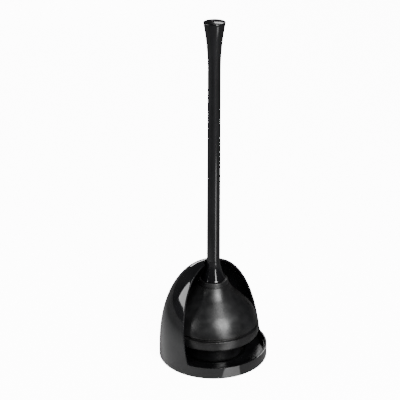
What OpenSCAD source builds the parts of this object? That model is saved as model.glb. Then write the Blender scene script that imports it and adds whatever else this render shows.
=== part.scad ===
/* [Caddy] */
// Diameter of the caddy where its wall meets the ground
caddy_d = 160; // [140:1:190]
// Height of the hood's crown, were it not notched
hood_h = 149.5; // [130:0.5:175]
// Fullness of the hood's profile low down
hood_fill = 2.5; // [1.5:0.05:3.5]
// Fullness of the hood's profile near the crown
hood_crown = 2.05; // [1.8:0.05:3]
// Wall of the hood and of the ring below it
hood_wall = 2.6; // [1.8:0.1:4]
// Height of the ring wall's top edge at the front
rim_h = 17.6; // [12:0.2:26]
// Distance of the hood's front edge ahead of the axis, at the ground
cut_reach = 27.5; // [10:0.5:40]
// How much nearer to the axis that edge comes per mm of height
cut_slope = 0.22; // [0:0.01:0.3]
// Radius of the corner between ring wall and hood edge
cut_fillet = 7; // [2:0.5:20]
// Radius of the notch round the handle at the crown
notch_r = 14; // [11:0.5:20]
// Amount by which the ring's top lip stands proud of its wall
lip_proud = 0.7; // [0.3:0.1:1.5]

/* [Floor pan] */
// Height of the pan's underside above the ground
pan_z = 3; // [2:0.2:6]
// Thickness of the pan's floor
pan_t = 2.4; // [1.6:0.1:4]
// Height of the pan's upstand above the ground
pan_top = 13; // [9:0.5:15]
// Number of low ribs that the plunger stands on
rib_n = 12; // [6:1:24]
// Height of those ribs
rib_h = 1; // [0.6:0.1:2]
// Number of rubber feet
foot_n = 4; // [3:1:6]
// Radius of a rubber foot
foot_r = 7; // [4:0.5:10]
// Radius of the circle the feet stand on
foot_pitch_r = 60; // [40:1:66]

/* [Rubber cup] */
// Largest diameter of the cup, at its lip band
cup_d = 135; // [110:1:150]
// Height of the lip band's lower edge
band_z = 38.5; // [30:0.5:44]
// Height at which the bell starts, above the groove
bell_z = 57; // [52:0.5:68]
// Height at which the bell meets the solid neck
bell_top_z = 110; // [100:0.5:116]
// Height of the neck's flat top
neck_top_z = 123; // [118:0.5:130]
// Wall of the bell
bell_wall = 4.5; // [3:0.1:6]
// Radius of the bell's convex shoulder, in section
bell_arc_r = 57; // [50:1:90]
// Radius of the concave sweep up to the neck, in section
sweep_arc_r = 60; // [40:1:90]
// Outer radius of the folding flange at its mouth
flange_r = 43; // [36:0.5:48]
// Wall of the folding flange
flange_wall = 3; // [2:0.1:5]

/* [Handle] */
// Height of the handle's top rim
handle_top_z = 506; // [420:1:600]
// Diameter of the shaft just above the ferrule
shaft_d = 19.2; // [16:0.1:26]
// Diameter of the shaft where the flared end begins
shaft_top_d = 17.9; // [15:0.1:24]
// Length of the flared end
flare_l = 68; // [40:1:90]
// Diameter of the flared end at its rim
flare_d = 30.6; // [24:0.2:40]
// Wall of the shaft
shaft_wall = 2.5; // [1.8:0.1:4]
// Height of the ferrule's top edge
ferrule_top_z = 152; // [145:0.5:165]
// Diameter of the ferrule's skirt
ferrule_d = 35; // [30:0.5:38]
// Gap between the skirt and the rubber neck
ferrule_gap = 0.7; // [0.3:0.1:2]

/* [Through rod] */
// Diameter of the steel rod
rod_d = 8; // [6:1:10]
// Width across flats of both nuts
nut_af = 13; // [10:0.5:17]
// Height of a nut
nut_h = 6.5; // [5:0.1:10]
// Thickness of a washer
washer_t = 1.6; // [1:0.1:3]

/* [Hidden] */

fit = 0.04;                // radial clearance of pressed and threaded pieces
loose = 0.3;               // radial clearance of a bolt in its hole
eps = 0.5;                 // overrun of a cutting solid
far = 120;                 // reach of a cutting solid beyond the caddy
round_n = 144;             // facets drawn round large pieces
small_n = 64;              // facets drawn round small pieces

caddy_r = caddy_d / 2;
ground_gap = 0.8;          // the feet lift the ring wall clear of the ground
seat_top = rim_h - 2.4;    // the pan's bore ends below the lip
seat_r = dome_r(seat_top, caddy_r - hood_wall, hood_h - hood_wall);
lip_h = 2.8;
profile_n = 40;

floor_z = pan_z + pan_t;
stand_z = floor_z + rib_h;
pan_wall = 1.8;
bead_r = 0.8;
bead_z = 10;
bead_reach = 0.5;
foot_recess = 0.6;
ring_r = 48;               // low ring that centres the flange
ring_t = 2;
ring_h = 3;

cup_r = cup_d / 2;
bell_r = cup_r - 1.8;
rim_in_r = cup_r - 6;
groove_r = cup_r - 3.2;
groove_low_z = bell_z - 3.8;
groove_high_z = bell_z - 1.4;
shoulder_a = 14;           // the bell's slope from upright at its foot
sweep_a = 46;              // its steepest slope
neck_a = 26;               // its slope under the neck
straight = 15;             // length, along each axis, of the line between both sweeps
neck_line_r = 20.6;
boss_r = 16;
boss_z = 104;
core_r = 11;
core_flange_r = 14;
core_flange_z = 106.5;
core_flange_t = 3;
core_top_z = neck_top_z + 2;

rod_r = rod_d / 2;
nut_r = nut_af / 2 / cos(30);
bore_r = shaft_top_d / 2 - shaft_wall;
nut_bore_r = 9;
top_bore_l = 31.6;         // depth of the bore that takes the top nut
ledge_z = handle_top_z - top_bore_l;
cap_seat = 2.5;
cap_inset = 1.9;           // width of the rim left round the cap
cap_r = flare_d / 2 - cap_inset;
spigot_r = 8.0;
flare_z = handle_top_z - flare_l;
flare_rise = (flare_d - shaft_top_d) / 2;
flare_arc_r = (flare_l * flare_l + flare_rise * flare_rise) / (2 * flare_rise);
skirt_z = neck_top_z + ferrule_gap;
skirt_r = ferrule_d / 2;
skirt_wall = 1.8;
rod_low_z = boss_z - washer_t - nut_h + 1;

// radius of the dome at height z, for a dome of foot radius r and height h
function dome_r(z, r, h) = r * pow(max(0, 1 - pow(z / h, hood_fill)), 1 / hood_crown);

// height of step i of n, closing up towards the crown
function dome_z(i, n, z0, h) = z0 + (h - z0) * sin(90 * i / n);

// arc of radius r about (cx, cz), from angle a0 to a1, in n steps
function arc(cx, cz, r, a0, a1, n) =
    [for (i = [0:n]) [cx + r * cos(a0 + (a1 - a0) * i / n), cz + r * sin(a0 + (a1 - a0) * i / n)]];

// distance of the hood's front edge ahead of the axis, at height z
function edge_y(z) = cut_reach - cut_slope * z;

// solid of revolution under a dome profile that starts at z0
module dome(r, h, z0) {
    rotate_extrude($fn = round_n)
        polygon(concat([[0, z0]],
            [for (i = [0:profile_n]) let (z = dome_z(i, profile_n, z0, h)) [dome_r(z, r, h), z]]));
}

// everything ahead of the hood's edge and above the ring wall, with a rounded corner
module opening() {
    tilt = atan(cut_slope);
    half = (90 + tilt) / 2;
    corner = [-edge_y(rim_h), rim_h];
    reach = cut_fillet / tan(half);
    centre = [corner[0] + cos(180 - half) * cut_fillet / sin(half),
        corner[1] + sin(180 - half) * cut_fillet / sin(half)];
    rotate([90, 0, 90])
        linear_extrude(2 * far, center = true)
            polygon([[corner[0] - reach, corner[1]], [-far, rim_h], [-far, hood_h + far],
                [-edge_y(hood_h + far), hood_h + far],
                [corner[0] + reach * sin(tilt), corner[1] + reach * cos(tilt)]]);
    translate([-far, centre[0], centre[1]])
        rotate([0, 90, 0])
            cylinder(r = cut_fillet, h = 2 * far, $fn = small_n);
}

// half-dome hood and the low ring wall, one moulding
module hood_shell() {
    color("#141416")
        difference() {
            union() {
                dome(caddy_r, hood_h, ground_gap);
                intersection() {
                    translate([0, 0, rim_h - lip_h])
                        cylinder(r = dome_r(rim_h, caddy_r, hood_h) + lip_proud, h = lip_h,
                            $fn = round_n);
                    translate([-far, -far, 0])
                        cube([2 * far, far - edge_y(rim_h) - cut_fillet / 2, rim_h]);
                }
            }
            translate([0, 0, ground_gap - eps])
                cylinder(r = seat_r, h = seat_top - ground_gap + eps, $fn = round_n);
            dome(caddy_r - hood_wall, hood_h - hood_wall, seat_top);
            translate([0, 0, bead_z])
                bead(bead_r + fit);
            opening();
            translate([0, 0, rim_h])
                cylinder(r = notch_r, h = hood_h, $fn = small_n);
        }
}

// ring of round section that locks the pan in the wall
module bead(r) {
    rotate_extrude($fn = round_n)
        translate([seat_r + bead_reach - bead_r, 0])
            circle(r = r, $fn = small_n);
}

// floor pan, pushed in from below and held by its bead
module base_pan() {
    color("#101012")
        difference() {
            union() {
                translate([0, 0, pan_z])
                    cylinder(r = seat_r - fit, h = pan_top - pan_z, $fn = round_n);
                translate([0, 0, bead_z])
                    bead(bead_r);
            }
            difference() {
                translate([0, 0, floor_z])
                    cylinder(r = seat_r - fit - pan_wall, h = pan_top, $fn = round_n);
                for (i = [0:rib_n - 1])
                    rotate([0, 0, (i + 0.5) * 360 / rib_n])
                        translate([ring_r / 3, -ring_t / 2, floor_z - eps])
                            cube([ring_r * 2 / 3, ring_t, rib_h + eps]);
                translate([0, 0, floor_z - eps])
                    difference() {
                        cylinder(r = ring_r + ring_t, h = ring_h + eps, $fn = round_n);
                        translate([0, 0, -eps])
                            cylinder(r = ring_r, h = ring_h + 3 * eps, $fn = round_n);
                    }
            }
            at_feet()
                translate([0, 0, pan_z - eps])
                    cylinder(r = foot_r + 0.1, h = foot_recess + eps, $fn = small_n);
        }
}

// places its child at each foot
module at_feet() {
    for (i = [0:foot_n - 1])
        rotate([0, 0, (i + 0.5) * 360 / foot_n])
            translate([foot_pitch_r, 0, 0])
                children();
}

// rubber pads bonded in the pan's recesses
module feet() {
    chamfer = 0.6;
    color("#202022")
        at_feet() {
            cylinder(r1 = foot_r - chamfer, r2 = foot_r, h = chamfer, $fn = small_n);
            translate([0, 0, chamfer])
                cylinder(r = foot_r, h = pan_z + foot_recess - chamfer, $fn = small_n);
        }
}

// outer line of bell and neck, from the groove up to the neck's top
function cup_line(t) = let (
        c1 = [bell_r - bell_arc_r * cos(shoulder_a), bell_z - bell_arc_r * sin(shoulder_a)],
        p1 = [c1[0] + bell_arc_r * cos(sweep_a), c1[1] + bell_arc_r * sin(sweep_a)],
        p2 = [p1[0] - straight, p1[1] + straight],
        c2 = [p2[0] + sweep_arc_r * cos(sweep_a), p2[1] + sweep_arc_r * sin(sweep_a)])
    concat(arc(c1[0], c1[1], bell_arc_r - t, shoulder_a - 5, sweep_a, 14),
        arc(c2[0], c2[1], sweep_arc_r + t, 180 + sweep_a, 180 + neck_a, 10));

// solid of revolution inside the cup's line, set in by t
module cup_body(t) {
    line = cup_line(t);
    rotate_extrude($fn = round_n)
        polygon(concat([[0, line[0][1]]], line,
            [[neck_line_r - t, neck_top_z], [0, neck_top_z]]));
}

// slab of the drawing space between two heights
module slab(z0, z1) {
    translate([0, 0, z0])
        cylinder(r = far, h = z1 - z0, $fn = round_n);
}

// flexible bell between the groove and the neck
module cup_bell() {
    color("#2a2a2c")
        intersection() {
            difference() {
                cup_body(0);
                cup_body(bell_wall);
            }
            slab(bell_z, bell_top_z);
        }
}

// solid rubber neck with its moulded ring
module cup_neck() {
    ring_z = 116.5;
    ring_r_mid = 23.1;
    ring_groove = 1;
    color("#2a2a2c")
        difference() {
            union() {
                intersection() {
                    cup_body(0);
                    slab(bell_top_z, neck_top_z);
                }
                translate([0, 0, boss_z])
                    cylinder(r = boss_r, h = bell_top_z - boss_z + eps, $fn = small_n);
            }
            rotate_extrude($fn = round_n)
                translate([ring_r_mid, ring_z])
                    circle(r = ring_groove, $fn = small_n);
            translate([0, 0, core_flange_z - fit])
                cylinder(r = core_flange_r + fit, h = core_flange_t + 2 * fit, $fn = small_n);
            translate([0, 0, core_flange_z])
                cylinder(r = core_r + fit, h = core_top_z, $fn = small_n);
            translate([0, 0, boss_z - eps])
                cylinder(r = rod_r + loose, h = core_top_z, $fn = small_n);
        }
}

// lip band with the groove above it
module cup_rim() {
    edge = 2;
    taper = 0.5;
    taper_h = 8;
    bead = 1.3;
    web_lap = 5;
    seal = 0.15;
    color("#242426")
        rotate_extrude($fn = round_n)
            polygon(concat([[rim_in_r, band_z]],
                arc(cup_r - taper - edge, band_z + edge, edge, -90, 0, 6),
                [[cup_r, band_z + taper_h]],
                arc(cup_r - edge, groove_low_z - edge, edge, 0, 70, 5),
                [[groove_r, groove_low_z], [groove_r, groove_high_z]],
                arc(bell_r - bead, bell_z, bead, -70, 0, 5),
                [[bell_r - bell_wall - seal, bell_z], [rim_in_r, bell_z - web_lap]]));
}

// inner flange that the plunger stands on
module cup_flange() {
    lip = 2.4;
    web_z = band_z + 2;
    web_t = 3.4;
    waist = 3;
    color("#1c1c1e")
        rotate_extrude($fn = round_n)
            union() {
                polygon([[flange_r - flange_wall, stand_z + lip], [flange_r, stand_z + lip],
                    [flange_r + waist, web_z], [rim_in_r, web_z], [rim_in_r, web_z + web_t],
                    [flange_r + waist - flange_wall, web_z + web_t]]);
                translate([flange_r - lip, stand_z + lip])
                    circle(r = lip, $fn = small_n);
            }
}

// hard core moulded in the neck
module neck_core() {
    color("#3a3a3c")
        difference() {
            union() {
                translate([0, 0, core_flange_z])
                    cylinder(r = core_flange_r, h = core_flange_t, $fn = small_n);
                translate([0, 0, core_flange_z])
                    cylinder(r = core_r, h = core_top_z - core_flange_z, $fn = small_n);
            }
            translate([0, 0, boss_z])
                cylinder(r = rod_r + fit, h = core_top_z, $fn = small_n);
        }
}

// flat washer of outer radius r, its underside at z
module washer(r, z) {
    color("#b8babd")
        difference() {
            translate([0, 0, z])
                cylinder(r = r, h = washer_t, $fn = small_n);
            translate([0, 0, z - eps])
                cylinder(r = rod_r + loose, h = washer_t + 2 * eps, $fn = small_n);
        }
}

// hexagon nut with its underside at z
module nut(z) {
    color("#b8babd")
        difference() {
            intersection() {
                translate([0, 0, z])
                    linear_extrude(nut_h)
                        circle(r = nut_r, $fn = 6);
                translate([0, 0, z])
                    cylinder(r1 = nut_r + nut_h - 0.9, r2 = nut_r - 0.9, h = nut_h,
                        $fn = small_n);
            }
            translate([0, 0, z - eps])
                cylinder(r = rod_r + fit, h = nut_h + 2 * eps, $fn = small_n);
        }
}

module cup_washer() {
    washer(boss_r - 1, boss_z - washer_t);
}

module cup_nut() {
    translate([0, 0, 2 * (boss_z - washer_t) - nut_h])
        mirror([0, 0, 1])
            nut(boss_z - washer_t - nut_h);
}

module top_washer() {
    washer(nut_bore_r - 0.3, ledge_z);
}

module top_nut() {
    nut(ledge_z + washer_t);
}

// steel rod that clamps cup, ferrule and shaft together
module through_rod() {
    chamfer = 0.8;
    top = ledge_z + washer_t + nut_h + 2;
    color("#a9abae") {
        translate([0, 0, rod_low_z])
            cylinder(r1 = rod_r - chamfer, r2 = rod_r, h = chamfer, $fn = small_n);
        translate([0, 0, rod_low_z + chamfer])
            cylinder(r = rod_r, h = top - rod_low_z - 2 * chamfer, $fn = small_n);
        translate([0, 0, top - chamfer])
            cylinder(r1 = rod_r, r2 = rod_r - chamfer, h = chamfer, $fn = small_n);
    }
}

// flared skirt that covers the joint between shaft and neck
module ferrule() {
    top_r = shaft_d / 2 + 0.1;
    flare_h = ferrule_top_z - skirt_z;
    hub_r = core_r - 0.4;
    hollow_h = 4.5;
    steps = 14;
    color("#131315")
        difference() {
            rotate_extrude($fn = small_n * 1.5)
                polygon(concat([[0, skirt_z]],
                    [for (i = [0:steps]) let (u = i / steps)
                        [top_r + (skirt_r - top_r) * pow(1 - u, 2.2), skirt_z + flare_h * u]],
                    [[0, ferrule_top_z]]));
            translate([0, 0, skirt_z])
                cylinder(r = spigot_r + fit, h = flare_h + eps, $fn = small_n);
            rotate_extrude($fn = small_n)
                polygon([[0, skirt_z - eps], [skirt_r - skirt_wall, skirt_z - eps],
                    [skirt_r - skirt_wall, skirt_z], [hub_r + 1, skirt_z + hollow_h],
                    [hub_r, skirt_z + hollow_h], [hub_r, core_top_z], [0, core_top_z]]);
        }
}

// hollow shaft with the flared end
module handle_tube() {
    rim = 0.8;
    top_r = flare_d / 2;
    color("#121214")
        difference() {
            rotate_extrude($fn = small_n * 1.5)
                polygon(concat([[0, core_top_z], [spigot_r, core_top_z],
                        [spigot_r, ferrule_top_z], [shaft_d / 2, ferrule_top_z]],
                    [for (i = [0:16]) let (s = flare_l * i / 16)
                        [shaft_top_d / 2 + flare_arc_r
                            - sqrt(flare_arc_r * flare_arc_r - s * s), flare_z + s - rim * i / 16]],
                    arc(top_r - rim, handle_top_z - rim, rim, 30, 90, 4),
                    [[0, handle_top_z]]));
            translate([0, 0, core_top_z - eps])
                cylinder(r = bore_r, h = handle_top_z, $fn = small_n);
            translate([0, 0, ledge_z])
                cylinder(r = nut_bore_r, h = handle_top_z, $fn = small_n);
            translate([0, 0, handle_top_z - cap_seat])
                cylinder(r = cap_r + fit, h = handle_top_z, $fn = small_n * 1.5);
        }
}

// domed cap that closes the flared end
module end_cap() {
    seat_z = handle_top_z - cap_seat;
    edge = 0.9;
    dome_h = 1.3;
    ball = (cap_r * cap_r + dome_h * dome_h) / (2 * dome_h);
    spigot_l = 11;
    color("#0f0f11") {
        difference() {
            union() {
                translate([0, 0, seat_z])
                    cylinder(r = cap_r, h = cap_seat - edge, $fn = small_n * 1.5);
                intersection() {
                    translate([0, 0, seat_z])
                        cylinder(r = cap_r, h = cap_seat * 2, $fn = small_n * 1.5);
                    translate([0, 0, handle_top_z - edge + dome_h - ball])
                        sphere(r = ball, $fn = small_n * 3);
                }
                translate([0, 0, seat_z - spigot_l])
                    cylinder(r = nut_bore_r - fit, h = spigot_l, $fn = small_n);
            }
            translate([0, 0, -ball])
                cylinder(r = far, h = seat_z - spigot_l + ball, $fn = small_n);
            translate([0, 0, seat_z - spigot_l - eps])
                cylinder(r = nut_bore_r - 1.6, h = spigot_l + eps, $fn = small_n);
        }
    }
}

hood_shell();
base_pan();
feet();
cup_flange();
cup_rim();
cup_bell();
cup_neck();
neck_core();
cup_washer();
cup_nut();
through_rod();
ferrule();
handle_tube();
top_washer();
top_nut();
end_cap();
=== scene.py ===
"""Looks of a toilet plunger that stands in its half-dome caddy.

Each sub-assembly is a class whose fields are its sizes in millimetres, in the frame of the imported
pieces. Its build method turns the sections of the visible pieces about the upright axis, puts the
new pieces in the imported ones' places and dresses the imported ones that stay.
"""

from __future__ import annotations

import logging
import math
from dataclasses import dataclass
from enum import Enum
from typing import Callable, ClassVar, Iterable, Sequence

import bpy
from mathutils import Matrix, Vector


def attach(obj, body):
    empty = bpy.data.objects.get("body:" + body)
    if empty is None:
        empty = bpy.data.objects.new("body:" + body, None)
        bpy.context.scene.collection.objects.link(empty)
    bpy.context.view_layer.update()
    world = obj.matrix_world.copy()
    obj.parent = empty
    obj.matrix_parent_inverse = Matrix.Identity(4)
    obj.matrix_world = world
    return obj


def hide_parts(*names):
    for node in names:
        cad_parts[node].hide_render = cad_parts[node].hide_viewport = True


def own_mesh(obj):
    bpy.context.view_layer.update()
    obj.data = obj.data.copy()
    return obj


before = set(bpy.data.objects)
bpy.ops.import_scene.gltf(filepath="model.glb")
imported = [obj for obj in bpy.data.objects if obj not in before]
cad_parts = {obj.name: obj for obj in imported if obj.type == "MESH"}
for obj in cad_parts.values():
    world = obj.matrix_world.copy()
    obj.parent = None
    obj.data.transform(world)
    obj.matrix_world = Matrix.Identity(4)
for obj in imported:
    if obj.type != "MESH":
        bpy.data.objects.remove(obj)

LOG = logging.getLogger("plunger")
MM = 0.001
WELD = 1e-6  # metres; points closer than this become one
Point = tuple[float, float]
Span = tuple[float, float]
Colour = tuple[float, float, float]


# ---------------------------------------------------------------- hand tools


def clear_selection() -> None:
    """Leaves edit mode if needed and deselects every object."""
    if bpy.context.object is not None and bpy.context.object.mode != "OBJECT":
        bpy.ops.object.mode_set(mode="OBJECT")
    bpy.ops.object.select_all(action="DESELECT")


def take(piece: bpy.types.Object) -> None:
    """Makes one piece the only selected and the active one.

    Args:
        piece: The object to work on.
    """
    clear_selection()
    piece.select_set(True)
    bpy.context.view_layer.objects.active = piece


def arc_line(cx: float, cz: float, r: float, start: float, end: float, steps: int) -> list[Point]:
    """Points along an arc of the section.

    Args:
        cx: Centre's distance from the axis, mm.
        cz: Centre's height, mm.
        r: Radius, mm.
        start: First angle, degrees.
        end: Last angle, degrees.
        steps: Number of equal steps.

    Returns:
        The points, first and last included.
    """
    turn = [math.radians(start + (end - start) * i / steps) for i in range(steps + 1)]
    return [(cx + r * math.cos(a), cz + r * math.sin(a)) for a in turn]


def straight_line(start: Point, end: Point, steps: int) -> list[Point]:
    """Points along a straight stretch of the section.

    Args:
        start: Where it begins, mm.
        end: Where it ends, mm.
        steps: Number of equal steps.

    Returns:
        The points, without the first and with the last.
    """
    (xa, za), (xb, zb) = start, end
    return [(xa + (xb - xa) * i / steps, za + (zb - za) * i / steps) for i in range(1, steps + 1)]


def rounded(corners: Sequence[tuple[float, float, float]], steps: int = 4) -> list[Point]:
    """Rounds the corners of an outline.

    Args:
        corners: Radius from the axis, height and rounding of each corner, mm.
        steps: Steps in each rounding.

    Returns:
        The rounded outline, open, in the same order.
    """
    out: list[Point] = []
    count = len(corners)
    for i, (x, z, r) in enumerate(corners):
        here = Vector((x, z))
        if r <= 0:
            out.append((x, z))
            continue
        back = (Vector(corners[i - 1][:2]) - here).normalized()
        ahead = (Vector(corners[(i + 1) % count][:2]) - here).normalized()
        half = back.angle(ahead) / 2
        reach = r / math.tan(half)
        centre = here + (back + ahead).normalized() * (r / math.sin(half))
        first, last = here + back * reach - centre, here + ahead * reach - centre
        sweep = first.angle_signed(last)
        for k in range(steps + 1):
            a = -sweep * k / steps
            spoke = Vector((first.x * math.cos(a) - first.y * math.sin(a),
                            first.x * math.sin(a) + first.y * math.cos(a)))
            out.append((centre.x + spoke.x, centre.y + spoke.y))
    return out


def drawn(name: str, line: Sequence[tuple[float, float, float]]) -> bpy.types.Object:
    """Draws a line vertex by vertex and leaves it in edit mode, all selected.

    Args:
        name: Name of the new piece.
        line: Its points, mm.

    Returns:
        The new piece, with its doubles merged.
    """
    clear_selection()
    bpy.ops.mesh.primitive_plane_add(size=MM, location=(0, 0, 0))
    piece = bpy.context.object
    piece.name = piece.data.name = name
    bpy.ops.object.mode_set(mode="EDIT")
    bpy.ops.mesh.select_all(action="SELECT")
    bpy.ops.mesh.merge(type="CENTER")
    bpy.ops.transform.translate(value=tuple(v * MM for v in line[0]))
    for here, there in zip(line, line[1:]):
        step = tuple((b - a) * MM for a, b in zip(here, there))
        bpy.ops.mesh.extrude_vertices_move(TRANSFORM_OT_translate={"value": step})
    bpy.ops.mesh.select_all(action="SELECT")
    bpy.ops.mesh.remove_doubles(threshold=WELD)
    return piece


def turned(name: str, outline: Sequence[Point], steps: int, closed: bool = True) -> bpy.types.Object:
    """Draws half a section and spins it about the upright axis.

    Args:
        name: Name of the new piece.
        outline: Section points as radius and height, mm.
        steps: Number of segments round the axis.
        closed: True when the outline runs back to its first point.

    Returns:
        The new piece, at the origin, with outward normals.
    """
    line = [(x, 0.0, z) for x, z in outline]
    piece = drawn(name, line + line[:1] if closed else line)
    bpy.ops.mesh.spin(steps=steps, angle=math.tau, center=(0, 0, 0), axis=(0, 0, 1))
    bpy.ops.mesh.select_all(action="SELECT")
    bpy.ops.mesh.remove_doubles(threshold=WELD)
    bpy.ops.mesh.normals_make_consistent(inside=False)
    bpy.ops.object.mode_set(mode="OBJECT")
    return piece


def pick_faces(piece: bpy.types.Object, wanted: Callable[[Vector], bool]) -> None:
    """Selects the faces whose centres pass a test, in face mode.

    Args:
        piece: The mesh being edited, in edit mode.
        wanted: Test of a face's centre, in metres.
    """
    bpy.ops.mesh.select_mode(type="FACE")
    bpy.ops.mesh.select_all(action="DESELECT")
    bpy.ops.object.mode_set(mode="OBJECT")
    for face in piece.data.polygons:
        face.select = bool(wanted(face.center))
    bpy.ops.object.mode_set(mode="EDIT")


def use_modifier(piece: bpy.types.Object, kind: str, **settings: object) -> None:
    """Adds a modifier and applies it at once.

    Args:
        piece: The piece it works on.
        kind: Blender's name for the modifier.
        **settings: Values set on the modifier.
    """
    take(piece)
    modifier = piece.modifiers.new(kind.title(), kind)
    for key, value in settings.items():
        setattr(modifier, key, value)
    bpy.ops.object.modifier_apply(modifier=modifier.name)


def smooth(piece: bpy.types.Object, degrees: float = 32.0) -> None:
    """Shades a piece smooth up to an edge angle.

    Args:
        piece: The piece to shade.
        degrees: Edges sharper than this stay sharp.
    """
    take(piece)
    bpy.ops.object.shade_smooth_by_angle(angle=math.radians(degrees))
    clear_selection()


# ---------------------------------------------------------------- node tools


def new_material(name: str) -> tuple[bpy.types.Material, bpy.types.NodeTree, bpy.types.Node]:
    """Adds a node material.

    Args:
        name: Its name.

    Returns:
        The material, its node tree and its shader.
    """
    made = bpy.data.materials.new(name)
    made.use_nodes = True
    return made, made.node_tree, made.node_tree.nodes["Principled BSDF"]


def object_place(tree: bpy.types.NodeTree) -> bpy.types.NodeSocket:
    """Adds the socket that gives a point's place on its object."""
    return tree.nodes.new("ShaderNodeTexCoord").outputs["Object"]


def add_noise(tree: bpy.types.NodeTree, place: bpy.types.NodeSocket, scale: float,
              detail: float) -> bpy.types.NodeSocket:
    """Adds a noise texture.

    Args:
        tree: The node tree.
        place: Socket with the coordinates.
        scale: Repeats per metre.
        detail: Octaves.

    Returns:
        The noise's value.
    """
    noise = tree.nodes.new("ShaderNodeTexNoise")
    noise.inputs["Scale"].default_value = scale
    noise.inputs["Detail"].default_value = detail
    tree.links.new(place, noise.inputs["Vector"])
    return noise.outputs["Fac"]


def add_ramp(tree: bpy.types.NodeTree, value: bpy.types.NodeSocket, stops: Span, first: Colour,
             last: Colour) -> bpy.types.NodeSocket:
    """Adds a ramp from one colour to another.

    Args:
        tree: The node tree.
        value: Socket with the value that runs along the ramp.
        stops: Values at which the ramp starts and ends.
        first: Colour at its start.
        last: Colour at its end.

    Returns:
        The ramp's colour.
    """
    ramp = tree.nodes.new("ShaderNodeValToRGB")
    for element, stop, colour in zip(ramp.color_ramp.elements, stops, (first, last)):
        element.position = stop
        element.color = (*colour, 1.0)
    tree.links.new(value, ramp.inputs["Fac"])
    return ramp.outputs["Color"]


def add_range(tree: bpy.types.NodeTree, value: bpy.types.NodeSocket, stops: Span,
              result: Span) -> bpy.types.NodeSocket:
    """Adds a map from one span of values to another, clamped at its ends.

    Args:
        tree: The node tree.
        value: Socket with the value to map.
        stops: Values at which the map starts and ends.
        result: What it gives at each.

    Returns:
        The mapped value.
    """
    mapped = tree.nodes.new("ShaderNodeMapRange")
    mapped.inputs["From Min"].default_value, mapped.inputs["From Max"].default_value = stops
    mapped.inputs["To Min"].default_value, mapped.inputs["To Max"].default_value = result
    tree.links.new(value, mapped.inputs["Value"])
    return mapped.outputs["Result"]


def add_bump(tree: bpy.types.NodeTree, height: bpy.types.NodeSocket, depth: float) -> bpy.types.Node:
    """Adds a bump.

    Args:
        tree: The node tree.
        height: Socket with the relief's height.
        depth: Depth of the relief, metres.

    Returns:
        The bump's node.
    """
    bump = tree.nodes.new("ShaderNodeBump")
    bump.inputs["Strength"].default_value = 1.0
    bump.inputs["Distance"].default_value = depth
    tree.links.new(height, bump.inputs["Height"])
    return bump


# ---------------------------------------------------------------- finishes


class Surface(Enum):
    """What a finish is made of; it sets which details the material gets."""

    GLOSS_MOULDING = "gloss moulding"
    MATT_MOULDING = "matt moulding"
    RUBBER = "rubber"
    ZINC = "zinc"


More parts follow.
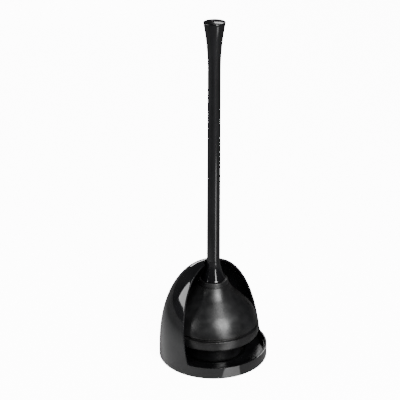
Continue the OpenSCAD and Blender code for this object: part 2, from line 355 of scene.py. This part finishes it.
@dataclass(frozen=True)
class Finish:
    """A surface finish and the node material that gives it. Scales are per metre."""

    name: str
    surface: Surface
    dark: Colour
    light: Colour
    rough: Span
    patch_scale: float
    grain_scale: float
    grain_depth: float
    coat: float = 0.0
    metallic: float = 0.0
    COAT_ROUGHNESS: ClassVar[float] = 0.06
    TINT_STOPS: ClassVar[Span] = (0.34, 0.70)
    FINE_OCTAVES: ClassVar[float] = 3.0
    COARSE_OCTAVES: ClassVar[float] = 2.0
    MARKS_TO_PATCHES: ClassVar[float] = 1.7
    MARK_STOPS: ClassVar[Span] = (0.30, 0.72)
    HAIR_SCALE: ClassVar[float] = 900.0
    HAIR_STRETCH: ClassVar[tuple[float, float, float]] = (1.0, 1.0, 0.06)
    HAIR_LEAN: ClassVar[tuple[float, float, float]] = (0.35, 0.2, 0.0)
    HAIR_STOPS: ClassVar[Span] = (0.66, 0.80)
    HAIR_ROUGHNESS: ClassVar[float] = 0.12
    SWELL_TO_PATCHES: ClassVar[float] = 1.4
    SWELL_TO_GRAIN: ClassVar[float] = 5.0

    def material(self) -> bpy.types.Material:
        """Builds the material, or returns the one already built."""
        found = bpy.data.materials.get(self.name)
        if found is not None:
            return found
        made, tree, shader = new_material(self.name)
        shader.inputs["Metallic"].default_value = self.metallic
        shader.inputs["Coat Weight"].default_value = self.coat
        shader.inputs["Coat Roughness"].default_value = self.COAT_ROUGHNESS
        place = object_place(tree)
        patches = add_noise(tree, place, self.patch_scale, self.FINE_OCTAVES)
        tint = add_ramp(tree, patches, self.TINT_STOPS, self.dark, self.light)
        tree.links.new(tint, shader.inputs["Base Color"])
        tree.links.new(self._roughness(tree, place), shader.inputs["Roughness"])
        tree.links.new(self._relief(tree, place), shader.inputs["Normal"])
        return made

    def _roughness(self, tree: bpy.types.NodeTree,
                   place: bpy.types.NodeSocket) -> bpy.types.NodeSocket:
        """Adds the roughness pattern: handling marks, and hairlines on gloss.

        Args:
            tree: The material's node tree.
            place: Socket with the coordinates.

        Returns:
            The roughness value.
        """
        marks = add_noise(tree, place, self.patch_scale * self.MARKS_TO_PATCHES, self.FINE_OCTAVES)
        spread = add_range(tree, marks, self.MARK_STOPS, self.rough)
        if self.surface is not Surface.GLOSS_MOULDING:
            return spread
        stretch = tree.nodes.new("ShaderNodeMapping")
        stretch.inputs["Scale"].default_value = self.HAIR_STRETCH
        stretch.inputs["Rotation"].default_value = self.HAIR_LEAN
        tree.links.new(place, stretch.inputs["Vector"])
        hair = add_noise(tree, stretch.outputs["Vector"], self.HAIR_SCALE, self.COARSE_OCTAVES)
        lines = add_range(tree, hair, self.HAIR_STOPS, (0.0, self.HAIR_ROUGHNESS))
        total = tree.nodes.new("ShaderNodeMath")
        total.operation = "ADD"
        tree.links.new(spread, total.inputs[0])
        tree.links.new(lines, total.inputs[1])
        return total.outputs["Value"]

    def _relief(self, tree: bpy.types.NodeTree,
                place: bpy.types.NodeSocket) -> bpy.types.NodeSocket:
        """Adds the fine relief of the surface, and a slow swell on rubber.

        Args:
            tree: The material's node tree.
            place: Socket with the coordinates.

        Returns:
            The bumped normal.
        """
        grain = add_noise(tree, place, self.grain_scale, self.FINE_OCTAVES)
        bump = add_bump(tree, grain, self.grain_depth)
        if self.surface is Surface.RUBBER:
            swell = add_noise(tree, place, self.patch_scale * self.SWELL_TO_PATCHES, self.COARSE_OCTAVES)
            wave = add_bump(tree, swell, self.grain_depth * self.SWELL_TO_GRAIN)
            tree.links.new(wave.outputs["Normal"], bump.inputs["Normal"])
        return bump.outputs["Normal"]


HOOD_GLOSS = Finish(
    "hood_gloss_black", Surface.GLOSS_MOULDING, dark=(0.004, 0.004, 0.0045),
    light=(0.010, 0.010, 0.011), rough=(0.05, 0.11), patch_scale=26.0, grain_scale=420.0,
    grain_depth=0.000012, coat=0.3)
HANDLE_GLOSS = Finish(
    "handle_gloss_black", Surface.GLOSS_MOULDING, dark=(0.003, 0.003, 0.0035),
    light=(0.007, 0.007, 0.008), rough=(0.10, 0.18), patch_scale=34.0, grain_scale=520.0,
    grain_depth=0.000012, coat=0.2)
CUP_RUBBER = Finish(
    "cup_satin_rubber", Surface.RUBBER, dark=(0.003, 0.003, 0.0032),
    light=(0.013, 0.013, 0.0135), rough=(0.28, 0.45), patch_scale=46.0, grain_scale=1200.0,
    grain_depth=0.000018)
# Painted shade: the same rubber as the cup, with its light tone set lower so the flange, which stands in
# shade under the bell, reads darker.
FLANGE_RUBBER_PAINTED_SHADE = Finish(
    "flange_rubber_painted_shade", Surface.RUBBER, dark=(0.003, 0.003, 0.0032),
    light=(0.009, 0.009, 0.0095), rough=(0.26, 0.42), patch_scale=70.0, grain_scale=1500.0,
    grain_depth=0.00004)
# Black moulding, plus painted shade: its tone is set below the hood's so the tray's inside, in the
# hood's shade, reads black.
PAN_SATIN_PAINTED_SHADE = Finish(
    "pan_black_painted_shade", Surface.MATT_MOULDING, dark=(0.002, 0.002, 0.0023),
    light=(0.005, 0.005, 0.0055), rough=(0.16, 0.28), patch_scale=45.0, grain_scale=1300.0,
    grain_depth=0.00002)
CORE_MATT = Finish(
    "core_matt_grey", Surface.MATT_MOULDING, dark=(0.030, 0.030, 0.032),
    light=(0.050, 0.050, 0.054), rough=(0.45, 0.60), patch_scale=45.0, grain_scale=1300.0,
    grain_depth=0.00004)
FOOT_RUBBER = Finish(
    "foot_matt_rubber", Surface.RUBBER, dark=(0.020, 0.020, 0.021),
    light=(0.038, 0.038, 0.039), rough=(0.60, 0.78), patch_scale=90.0, grain_scale=1800.0,
    grain_depth=0.00006)
ZINC_PLATE = Finish(
    "bright_zinc", Surface.ZINC, dark=(0.50, 0.51, 0.53), light=(0.66, 0.67, 0.69),
    rough=(0.22, 0.38), patch_scale=120.0, grain_scale=2200.0, grain_depth=0.00002,
    metallic=1.0)


def dress(piece: bpy.types.Object, finish: Finish) -> None:
    """Puts one finish on a new piece.

    Args:
        piece: The piece.
        finish: Its finish.
    """
    piece.data.materials.clear()
    piece.data.materials.append(finish.material())


def dress_nodes(names: Iterable[str], finish: Finish) -> None:
    """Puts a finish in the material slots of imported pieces.

    Args:
        names: The pieces' names.
        finish: Their finish.
    """
    for name in names:
        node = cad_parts[name]
        for holder in node.material_slots:
            holder.material = finish.material()
        if not node.material_slots:
            node.data.materials.append(finish.material())
        LOG.info("dressed %s in %s", name, finish.name)


def settle(piece: bpy.types.Object, body: str, node: str, finish: Finish) -> None:
    """Dresses a finished piece and puts it in its node's place.

    Args:
        piece: The finished piece.
        body: The body it moves with.
        node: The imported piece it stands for.
        finish: Its finish.
    """
    dress(piece, finish)
    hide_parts(node)
    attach(piece, body)
    LOG.info("%s: %d faces, rides on %s", piece.name, len(piece.data.polygons), body)


# ---------------------------------------------------------------- caddy


@dataclass
class Caddy:
    """Half-dome hood with its ring wall, the pan in it and the feet. Sizes in mm."""

    radius: float = 80.0
    crown: float = 149.5
    fill: float = 2.5
    crown_fill: float = 2.05
    wall: float = 2.6
    ground_gap: float = 0.8
    rim: float = 17.6
    edge_reach: float = 27.5
    edge_slope: float = 0.22
    edge_round: float = 1.1
    corner: float = 5.0
    notch: float = 14.0
    BODY: ClassVar[str] = "caddy"
    RING_HEIGHTS: ClassVar[tuple[float, ...]] = (5.0, 9.5, 13.6)
    DOME_STEPS: ClassVar[int] = 58
    TURN_STEPS: ClassVar[int] = 180
    CORNER_CUTS: ClassVar[int] = 5
    CORNER_NEAR: ClassVar[float] = 1.5
    SLIVER: ClassVar[float] = 0.5

    def build(self) -> None:
        """Builds the hood and dresses the rest of the caddy."""
        settle(self.hood(), self.BODY, "hood_shell", HOOD_GLOSS)
        dress_nodes(["base_pan"], PAN_SATIN_PAINTED_SHADE)
        dress_nodes(["feet"], FOOT_RUBBER)

    def dome_radius(self, z: float) -> float:
        """Radius of the hood's outside at a height, mm."""
        left = max(0.0, 1.0 - (z / self.crown) ** self.fill)
        return self.radius * left ** (1.0 / self.crown_fill)

    def notch_height(self) -> float:
        """Height at which the dome is as narrow as the notch, mm."""
        share = 1.0 - (self.notch / self.radius) ** self.crown_fill
        return self.crown * share ** (1.0 / self.fill)

    def dome_line(self) -> list[Point]:
        """Outside line of the wall, from the ground up to the notch."""
        first = math.asin(self.rim / self.crown)
        last = math.asin(self.notch_height() / self.crown)
        turns = [first + (last - first) * i / self.DOME_STEPS for i in range(self.DOME_STEPS + 1)]
        heights = [self.ground_gap, *self.RING_HEIGHTS, *(self.crown * math.sin(a) for a in turns)]
        return [(self.dome_radius(z), z) for z in heights]

    def hood(self) -> bpy.types.Object:
        """Turns the dome, cuts its front away and gives it its wall and soft edges."""
        hood = turned("hood", self.dome_line(), self.TURN_STEPS, closed=False)
        self.cut_front(hood)
        use_modifier(hood, "SOLIDIFY", thickness=self.wall * MM, offset=-1.0,
                     use_even_offset=True)
        use_modifier(hood, "BEVEL", width=self.edge_round * MM, segments=4, limit_method="ANGLE",
                     angle_limit=math.radians(50))
        smooth(hood, 40)
        return hood

    def cut_front(self, hood: bpy.types.Object) -> None:
        """Cuts away the dome ahead of the slanted edge and above the rim.

        The corner between the two is cut by a fan of planes that touch its round.

        Args:
            hood: The turned dome, a single skin.
        """
        tilt = math.atan(self.edge_slope)
        half = (math.pi / 2 + tilt) / 2
        away = self.corner / math.sin(half)
        rim_y = -(self.edge_reach - self.edge_slope * self.rim)
        centre = Vector((0.0, rim_y - math.cos(half) * away, self.rim + math.sin(half) * away))
        first, last = -math.pi / 2, -tilt
        angles = [first + (last - first) * i / self.CORNER_CUTS for i in range(self.CORNER_CUTS + 1)]
        normals = [Vector((0.0, math.cos(a), math.sin(a))) for a in angles]
        planes = [((centre + n * self.corner) * MM, n) for n in normals]
        low, near = self.rim * MM, self.corner * self.CORNER_NEAR * MM
        take(hood)
        bpy.ops.object.mode_set(mode="EDIT")
        for at, normal in planes[1:]:
            straight = normal is normals[-1]
            pick_faces(hood, lambda c: c.z > low and (
                straight or (Vector((0, c.y, c.z)) - centre * MM).length < near))
            bpy.ops.mesh.bisect(plane_co=at, plane_no=normal)
        pick_faces(hood, lambda c: all((c - at).dot(n) < 0 for at, n in planes))
        bpy.ops.mesh.delete(type="FACE")
        bpy.ops.mesh.select_mode(type="VERT")
        bpy.ops.mesh.select_all(action="DESELECT")
        bpy.ops.mesh.select_non_manifold()
        bpy.ops.mesh.remove_doubles(threshold=self.SLIVER * MM)
        bpy.ops.object.mode_set(mode="OBJECT")


# ---------------------------------------------------------------- rubber cup


@dataclass
class RubberCup:
    """Bell, neck, lip band and inner flange of the cup. Sizes in mm, angles in degrees."""

    radius: float = 67.5
    band: float = 38.5
    belly: float = 0.6
    belly_height: float = 8.0
    lip_wall: float = 6.0
    groove_depth: float = 4.2
    groove_low: float = 4.6
    groove_high: float = 1.6
    groove_draft: float = 0.3
    bell_set_in: float = 1.8
    bell_foot: float = 57.0
    bell_top: float = 110.0
    bell_wall: float = 4.5
    shoulder_arc: float = 57.0
    sweep_arc: float = 60.0
    shoulder: float = 14.0
    shoulder_lead: float = 8.0
    steepest: float = 46.0
    straight: float = 15.0
    neck_angle: float = 26.0
    neck_radius: float = 20.6
    neck_top: float = 123.0
    ring: float = 116.0
    ring_half: float = 1.0
    ring_depth: float = 0.6
    boss_radius: float = 16.0
    boss: float = 104.0
    boss_edge: float = 0.8
    core_radius: float = 11.0
    core_foot: float = 109.5
    core_hub: float = 14.0
    core_hub_foot: float = 106.5
    rod_hole: float = 4.3
    flange: float = 43.0
    flange_wall: float = 3.0
    flange_lip: float = 2.4
    web_rise: float = 2.0
    web_wall: float = 3.4
    web_flare: float = 3.0
    stand: float = 6.4
    plunge: float = 25.0
    BODY: ClassVar[str] = "cup"
    SHOULDER_STEPS: ClassVar[int] = 34
    SWEEP_STEPS: ClassVar[int] = 22
    NECK_STEPS: ClassVar[int] = 8
    BELL_TURN_STEPS: ClassVar[int] = 160
    TURN_STEPS: ClassVar[int] = 128

    @property
    def bell_radius(self) -> float:
        """Radius of the bell's foot."""
        return self.radius - self.bell_set_in

    @property
    def lip_inside(self) -> float:
        """Radius of the lip band's inside."""
        return self.radius - self.lip_wall

    def build(self) -> None:
        """Builds the four parts of the cup."""
        bell = self.bell()
        settle(bell, self.BODY, "cup_bell", CUP_RUBBER)
        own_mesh(bell)
        settle(self.rim(), self.BODY, "cup_rim", CUP_RUBBER)
        settle(self.folding_flange(), self.BODY, "cup_flange", FLANGE_RUBBER_PAINTED_SHADE)
        settle(self.neck(), "handle", "cup_neck", CUP_RUBBER)

    def line(self, inset: float, low: float, high: float) -> list[Point]:
        """Section line of bell and neck between two heights.

        It is a round shoulder, a straight stretch, a hollow sweep and the neck's straight taper.

        Args:
            inset: Distance inside the outer surface, mm.
            low: Lowest height, mm.
            high: Highest height, mm.

        Returns:
            The points, from low to high.
        """
        s, t = math.radians(self.shoulder), math.radians(self.steepest)
        big, sweep = self.shoulder_arc, self.sweep_arc
        c1 = (self.bell_radius - big * math.cos(s), self.bell_foot - big * math.sin(s))
        p1 = (c1[0] + big * math.cos(t), c1[1] + big * math.sin(t))
        p2 = (p1[0] - self.straight, p1[1] + self.straight)
        c2 = (p2[0] + sweep * math.cos(t), p2[1] + sweep * math.sin(t))
        whole = arc_line(*c1, big - inset, self.shoulder - self.shoulder_lead, self.steepest,
                         self.SHOULDER_STEPS)
        whole += arc_line(*c2, sweep + inset, 180 + self.steepest, 180 + self.neck_angle,
                          self.SWEEP_STEPS)
        end = (self.neck_radius - inset, self.neck_top)
        whole += straight_line(whole[-1], end, self.NECK_STEPS)
        return self.between(whole, low, high)

    @staticmethod
    def between(whole: Sequence[Point], low: float, high: float) -> list[Point]:
        """The stretch of a rising line between two heights, with exact ends.

        Args:
            whole: A line whose heights rise.
            low: Lowest height, mm.
            high: Highest height, mm.

        Returns:
            The points, from low to high.
        """

        def at(z: float) -> Point:
            """Point of the line at a height."""
            for (xa, za), (xb, zb) in zip(whole, whole[1:]):
                if za <= z <= zb:
                    return (xa + (xb - xa) * (z - za) / (zb - za), z)
            return whole[-1]

        clear = 0.2
        middle = [p for p in whole if low + clear < p[1] < high - clear]
        return [at(low), *middle, at(high)]

    def bell(self) -> bpy.types.Object:
        """The flexible bell, a closed wall."""
        outside = self.line(0.0, self.bell_foot, self.bell_top)
        inside = self.line(self.bell_wall, self.bell_foot, self.bell_top)
        bell = turned("bell", outside + inside[::-1], self.BELL_TURN_STEPS)
        smooth(bell)
        return bell

    def rim(self) -> bpy.types.Object:
        """The lip band, the groove over it and the shoulder line."""
        r, z, foot = self.radius, self.band, self.bell_foot
        low, high, groove = foot - self.groove_low, foot - self.groove_high, r - self.groove_depth
        outline = rounded([
            (self.lip_inside, z, 0.6), (r - self.belly, z, 1.6), (r, z + self.belly_height, 4.0),
            (r, low, 1.1), (groove, low + self.groove_draft, 0.5),
            (groove, high - self.groove_draft, 0.5), (self.bell_radius - 0.02, high, 1.4),
            (self.bell_radius, foot, 0.0), (self.bell_radius - self.bell_wall - 0.15, foot, 0.0),
            (self.lip_inside, foot - 5.0, 0.8),
        ])
        rim = turned("lip_band", outline, self.BELL_TURN_STEPS)
        smooth(rim)
        return rim

    def folding_flange(self) -> bpy.types.Object:
        """The inner flange that carries the plunger, with its web."""
        r, lip, inner = self.flange, self.flange_lip, self.lip_inside
        web = self.band + self.web_rise
        top, foot = web + self.web_wall, self.stand + lip
        inside = r - self.flange_wall
        outline = arc_line(r - lip, foot, lip, -200, 20, 14)
        outline += rounded([
            (r + self.web_flare - 1.4, web - 12.0, 0.0), (r + self.web_flare, web, 2.0),
            (inner, web, 0.0), (inner, top, 0.0), (inside + self.web_flare, top, 1.6),
            (inside, foot + 4.0, 0.0),
        ])
        flange = turned("folding_flange", outline, self.TURN_STEPS)
        smooth(flange)
        return flange

    def neck(self) -> bpy.types.Object:
        """The solid neck with its moulded ring groove, and the boss and sockets inside."""
        outside = self.line(0.0, self.bell_top, self.neck_top)
        low, high = self.ring - self.ring_half, self.ring + self.ring_half
        below = [p for p in outside if p[1] < low - 0.2]
        above = [p for p in outside if p[1] > high + 0.2]
        at = self.between(outside, low, high)
        groove = [(at[0][0], low), (at[0][0] - self.ring_depth, self.ring - 0.5),
                  (at[-1][0] - self.ring_depth, self.ring + 0.4), (at[-1][0], high)]
        (last_r, last_z), (top_r, top_z) = above[-2:]
        top_edge = rounded([(last_r, last_z, 0.0), (top_r, top_z, 0.9),
                            (self.core_radius, top_z, 0.0)])[1:-1]
        sockets = [
            (self.core_radius, self.neck_top), (self.core_radius, self.core_foot),
            (self.core_hub, self.core_foot), (self.core_hub, self.core_hub_foot),
            (self.rod_hole, self.core_hub_foot), (self.rod_hole, self.boss),
        ]
        boss = [
            (self.boss_radius - self.boss_edge, self.boss),
            (self.boss_radius, self.boss + self.boss_edge), (self.boss_radius, self.bell_top),
        ]
        outline = below + groove + above[:-1] + top_edge + sockets + boss
        neck = turned("neck", outline, self.TURN_STEPS)
        smooth(neck)
        return neck


# ---------------------------------------------------------------- handle


@dataclass
class Handle:
    """Flared shaft, its cap, the ferrule and the rod through them. Sizes in mm."""

    top: float = 506.0
    foot: float = 125.0
    low_radius: float = 9.6
    high_radius: float = 8.95
    flare_length: float = 68.0
    flare_radius: float = 15.3
    mouth_round: float = 0.9
    seat_round: float = 0.5
    bore: float = 6.45
    nut_bore: float = 9.0
    ledge: float = 474.4
    spigot: float = 8.0
    ferrule_top: float = 152.0
    ferrule_edge: float = 0.3
    skirt: float = 123.7
    skirt_radius: float = 17.5
    skirt_wall: float = 1.8
    skirt_hollow: float = 4.5
    skirt_sweep: float = 1.6
    core_radius: float = 11.0
    cap_radius: float = 13.4
    cap_gap: float = 0.06
    cap_seat: float = 2.5
    cap_rise: float = 1.3
    plug_length: float = 11.0
    plug_wall: float = 1.6
    BODY: ClassVar[str] = "handle"
    SHAFT_STEPS: ClassVar[int] = 8
    CURVE_STEPS: ClassVar[int] = 24
    TURN_STEPS: ClassVar[int] = 96
    SHARP: ClassVar[float] = 28.0

    def build(self) -> None:
        """Builds the shaft, cap and ferrule and dresses the hidden pieces."""
        settle(self.shaft(), self.BODY, "handle_tube", HANDLE_GLOSS)
        settle(self.cap(), self.BODY, "end_cap", HANDLE_GLOSS)
        settle(self.ferrule(), self.BODY, "ferrule", HANDLE_GLOSS)
        dress_nodes(["neck_core"], CORE_MATT)
        dress_nodes(["through_rod", "cup_washer", "cup_nut", "top_washer", "top_nut"], ZINC_PLATE)

    def turn(self, name: str, outline: Sequence[Point]) -> bpy.types.Object:
        """Turns one of the handle's pieces and shades it.

        Args:
            name: Name of the new piece.
            outline: Closed section, mm.

        Returns:
            The piece.
        """
        piece = turned(name, outline, self.TURN_STEPS)
        smooth(piece, self.SHARP)
        return piece

    def flare_line(self, low: float) -> list[Point]:
        """Outside line of the flare, an arc that starts upright.

        Args:
            low: Height at which it starts, mm.

        Returns:
            The points, up to where the mouth's edge is rounded.
        """
        rise = self.flare_radius - self.high_radius
        arc = (self.flare_length ** 2 + rise ** 2) / (2 * rise)
        line = []
        for i in range(self.CURVE_STEPS + 1):
            part = i / self.CURVE_STEPS
            s = self.flare_length * part
            x = self.high_radius + arc - math.sqrt(arc * arc - s * s)
            line.append((x, low + s - self.mouth_round * part))
        return line

    def shaft(self) -> bpy.types.Object:
        """The long shaft with its flared end and stepped bore."""
        low, edge = self.top - self.flare_length, self.top - self.cap_seat
        taper = straight_line((self.low_radius, self.ferrule_top), (self.high_radius, low),
                              self.SHAFT_STEPS)
        mouth_r, seat_r = self.flare_radius - self.mouth_round, self.cap_radius + self.seat_round
        return self.turn("shaft", [
            (self.bore, self.foot), (self.spigot, self.foot), (self.spigot, self.ferrule_top),
            (self.low_radius - self.ferrule_edge, self.ferrule_top),
            (self.low_radius, self.ferrule_top + self.ferrule_edge),
            *taper[:-1], *self.flare_line(low),
            *arc_line(mouth_r, self.top - self.mouth_round, self.mouth_round, 20, 90, 5),
            *arc_line(seat_r, self.top - self.seat_round, self.seat_round, 90, 180, 4),
            (self.cap_radius, edge), (self.nut_bore, edge), (self.nut_bore, self.ledge),
            (self.bore, self.ledge),
        ])

    def cap(self) -> bpy.types.Object:
        """The low domed cap with its hollow plug."""
        seat, r, rise = self.top - self.cap_seat, self.cap_radius - self.cap_gap, self.cap_rise
        ball = (r * r + rise ** 2) / (2 * rise)
        middle = self.top - self.mouth_round + rise - ball
        reach = math.degrees(math.asin((r - 0.4) / ball))
        plug = self.nut_bore - 0.05
        hollow, plug_foot = plug - self.plug_wall, seat - self.plug_length
        return self.turn("cap", [
            (0.0, seat), (hollow, seat), (hollow, plug_foot), (plug, plug_foot), (plug, seat),
            (r, seat), (r, seat + rise), *arc_line(0.0, middle, ball, 90 - reach, 90, 12),
        ])

    def ferrule(self) -> bpy.types.Object:
        """The flared skirt over the joint of shaft and neck."""
        height, count = self.ferrule_top - self.skirt, self.CURVE_STEPS
        top_r, hub = self.low_radius + 0.1, self.core_radius - 0.4
        hollow = self.skirt + self.skirt_hollow
        sweep = [(top_r + (self.skirt_radius - top_r) * (1 - i / count) ** self.skirt_sweep,
                  self.skirt + height * i / count) for i in range(1, count)]
        return self.turn("ferrule_skirt", [
            (self.skirt_radius - self.skirt_wall, self.skirt),
            (self.skirt_radius - 0.5, self.skirt), (self.skirt_radius, self.skirt + 0.4),
            *sweep, (top_r, self.ferrule_top - self.ferrule_edge),
            (top_r - self.ferrule_edge, self.ferrule_top), (self.spigot, self.ferrule_top),
            (self.spigot, self.foot), (hub, self.foot), (hub, hollow), (hub + 1.0, hollow),
        ])


# ---------------------------------------------------------------- studio


@dataclass(frozen=True)
class Softbox:
    """A rectangular light that faces the object. Sizes in metres, angles in degrees."""

    name: str
    azimuth: float
    elevation: float
    distance: float
    width: float
    height: float
    power: float

    def build(self, aim: Vector) -> None:
        """Hangs the light.

        Args:
            aim: The point that it faces.
        """
        a, e = math.radians(self.azimuth), math.radians(self.elevation)
        back = Vector((math.sin(a) * math.cos(e), -math.cos(a) * math.cos(e), math.sin(e)))
        lamp = bpy.data.lights.new(self.name, "AREA")
        lamp.shape = "RECTANGLE"
        lamp.size, lamp.size_y, lamp.energy = self.width, self.height, self.power
        box = bpy.data.objects.new(self.name, lamp)
        box.location = aim + back * self.distance
        box.rotation_euler = (-back).to_track_quat("-Z", "Y").to_euler()
        bpy.context.scene.collection.objects.link(box)


def hide_from(piece: bpy.types.Object, *rays: str) -> None:
    """Makes a studio piece unseen by some kinds of rays.

    Args:
        piece: The studio piece.
        *rays: Kinds of rays, as Blender names them.
    """
    for ray in rays:
        setattr(piece, f"visible_{ray}", False)


@dataclass
class Studio:
    """Pale floor, soft lights and the camera, in metres and degrees; drawn outlines are in mm."""

    camera_azimuth: float = -45.0
    camera_distance: float = 1.683
    camera_height: float = 0.971
    pitch: float = 23.3
    yaw: float = -0.66
    lens: float = 116.3
    paper_glow: float = 12.0
    streak_glow: float = 1.5
    streak_height: float = 0.4
    sky: Span = (0.04, 0.02)
    # Near and far grey of the bounce card: a painted pool of light, palest by the object.
    painted_pool_card: Span = (0.62, 0.13)
    painted_pool_middle: tuple[float, float, float] = (-0.14, 0.06, 0.0)
    aim_height: float = 0.1
    WHITE: ClassVar[Colour] = (1.0, 1.0, 1.0)
    LIGHTS: ClassVar[tuple[Softbox, ...]] = (
        Softbox("key_box", azimuth=-15.0, elevation=39.0, distance=1.9,
                width=0.62, height=1.00, power=56.0),
        Softbox("key_strip", azimuth=-17.0, elevation=12.0, distance=1.9,
                width=0.26, height=0.70, power=10.0),
        Softbox("left_box", azimuth=-126.0, elevation=22.5, distance=1.8,
                width=1.46, height=0.86, power=26.0),
        Softbox("rear_strip", azimuth=146.0, elevation=4.0, distance=2.2,
                width=0.80, height=0.12, power=2.5),
        Softbox("back_box", azimuth=128.0, elevation=32.0, distance=2.4,
                width=0.50, height=0.30, power=2.5),
    )

    def build(self) -> None:
        """Builds the whole studio."""
        self.paper()
        self.bounce()
        self.streak()
        self.world()
        for box in self.LIGHTS:
            box.build(Vector((0.0, 0.0, self.aim_height)))
            LOG.info("hung %s", box.name)
        self.camera()

    def glow(self, shader: bpy.types.Node, strength: float) -> None:
        """Makes a shader give off white light.

        Args:
            shader: The material's shader.
            strength: How bright it is.
        """
        shader.inputs["Emission Color"].default_value = (*self.WHITE, 1.0)
        shader.inputs["Emission Strength"].default_value = strength

    def paper(self) -> None:
        """Lays the pale sweep: a wide flat floor that rises at its far edge."""
        reach, rise = 4500.0, 2500.0
        outline = [(0.0, 0.0), (700.0, 0.0), (2500.0, 0.0), (reach, 0.0)]
        outline += arc_line(reach, rise, rise, -90, 0, 12)[1:]
        sweep = turned("studio_paper", outline, 96, closed=False)
        paper, tree, shader = new_material("studio_paper")
        shader.inputs["Roughness"].default_value = 0.9
        shader.inputs["Specular IOR Level"].default_value = 0.1
        self.glow(shader, self.paper_glow)
        fibre = add_noise(tree, object_place(tree), 60.0, 2.0)
        tone = add_ramp(tree, fibre, (0.0, 1.0), (0.90, 0.90, 0.90), (0.93, 0.93, 0.93))
        tree.links.new(tone, shader.inputs["Base Color"])
        sweep.data.materials.append(paper)
        hide_from(sweep, "glossy", "diffuse", "shadow")
        smooth(sweep, 60)

    def bounce(self) -> None:
        """Lays a card under the paper that only bounces light; its grey is a painted pool of light,
        palest by the object.
        """
        under = -0.5
        outline = [(reach, under) for reach in (0.0, 300.0, 1500.0, 3000.0)]
        painted_pool_card = turned("bounce_card", outline, 64, closed=False)
        grey, tree, shader = new_material("bounce_grey_painted_pool")
        shader.inputs["Roughness"].default_value = 0.9
        away = tree.nodes.new("ShaderNodeVectorMath")
        away.operation = "DISTANCE"
        away.inputs[1].default_value = self.painted_pool_middle
        tree.links.new(object_place(tree), away.inputs[0])
        # Painted pool of light: the grey runs from pale by the object to dark far off.
        near, far = ((tone, tone, tone) for tone in self.painted_pool_card)
        painted_pool_fade = add_ramp(tree, away.outputs["Value"], (0.05, 0.30), near, far)
        tree.links.new(painted_pool_fade, shader.inputs["Base Color"])
        painted_pool_card.data.materials.append(grey)
        hide_from(painted_pool_card, "camera")

    def streak(self) -> None:
        """Lays a bright wedge on the floor that only mirrors in the gloss."""
        corners = [(-48.0, -67.0), (-20.0, -80.0), (80.0, -800.0), (-210.0, -770.0)]
        line = [(x, y, self.streak_height) for x, y in corners]
        wedge = drawn("floor_streak", line + line[:1])
        bpy.ops.mesh.edge_face_add()
        bpy.ops.object.mode_set(mode="OBJECT")
        glow, _, shader = new_material("streak_glow")
        self.glow(shader, self.streak_glow)
        wedge.data.materials.append(glow)
        hide_from(wedge, "camera", "diffuse", "shadow")
        clear_selection()

    def world(self) -> None:
        """Sets a surround that is pale at the horizon and dim overhead."""
        world = bpy.data.worlds.new("studio_world")
        world.use_nodes = True
        tree = world.node_tree
        look = tree.nodes.new("ShaderNodeTexCoord")
        split = tree.nodes.new("ShaderNodeSeparateXYZ")
        tree.links.new(look.outputs["Generated"], split.inputs["Vector"])
        low, high = ((tone, tone, tone) for tone in self.sky)
        sky = add_ramp(tree, split.outputs["Z"], (0.05, 0.75), low, high)
        tree.links.new(sky, tree.nodes["Background"].inputs["Color"])
        bpy.context.scene.world = world

    def camera(self) -> None:
        """Places the camera and makes it the scene's own."""
        a = math.radians(self.camera_azimuth)
        data = bpy.data.cameras.new("studio_camera")
        data.lens = self.lens
        data.sensor_width = 36.0
        data.clip_end = 50.0
        camera = bpy.data.objects.new("studio_camera", data)
        camera.location = (math.sin(a) * self.camera_distance,
                           -math.cos(a) * self.camera_distance, self.camera_height)
        heading = Matrix.Rotation(a - math.radians(self.yaw), 4, "Z")
        down = Matrix.Rotation(math.radians(90.0 - self.pitch), 4, "X")
        camera.rotation_euler = (heading @ down).to_euler()
        bpy.context.scene.collection.objects.link(camera)
        bpy.context.scene.camera = camera


def main() -> None:
    """Builds every piece and the studio."""
    logging.basicConfig(level=logging.INFO, format="%(name)s: %(message)s")
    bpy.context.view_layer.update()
    Caddy().build()
    RubberCup().build()
    Handle().build()
    Studio().build()


if __name__ == "__main__":
    main()
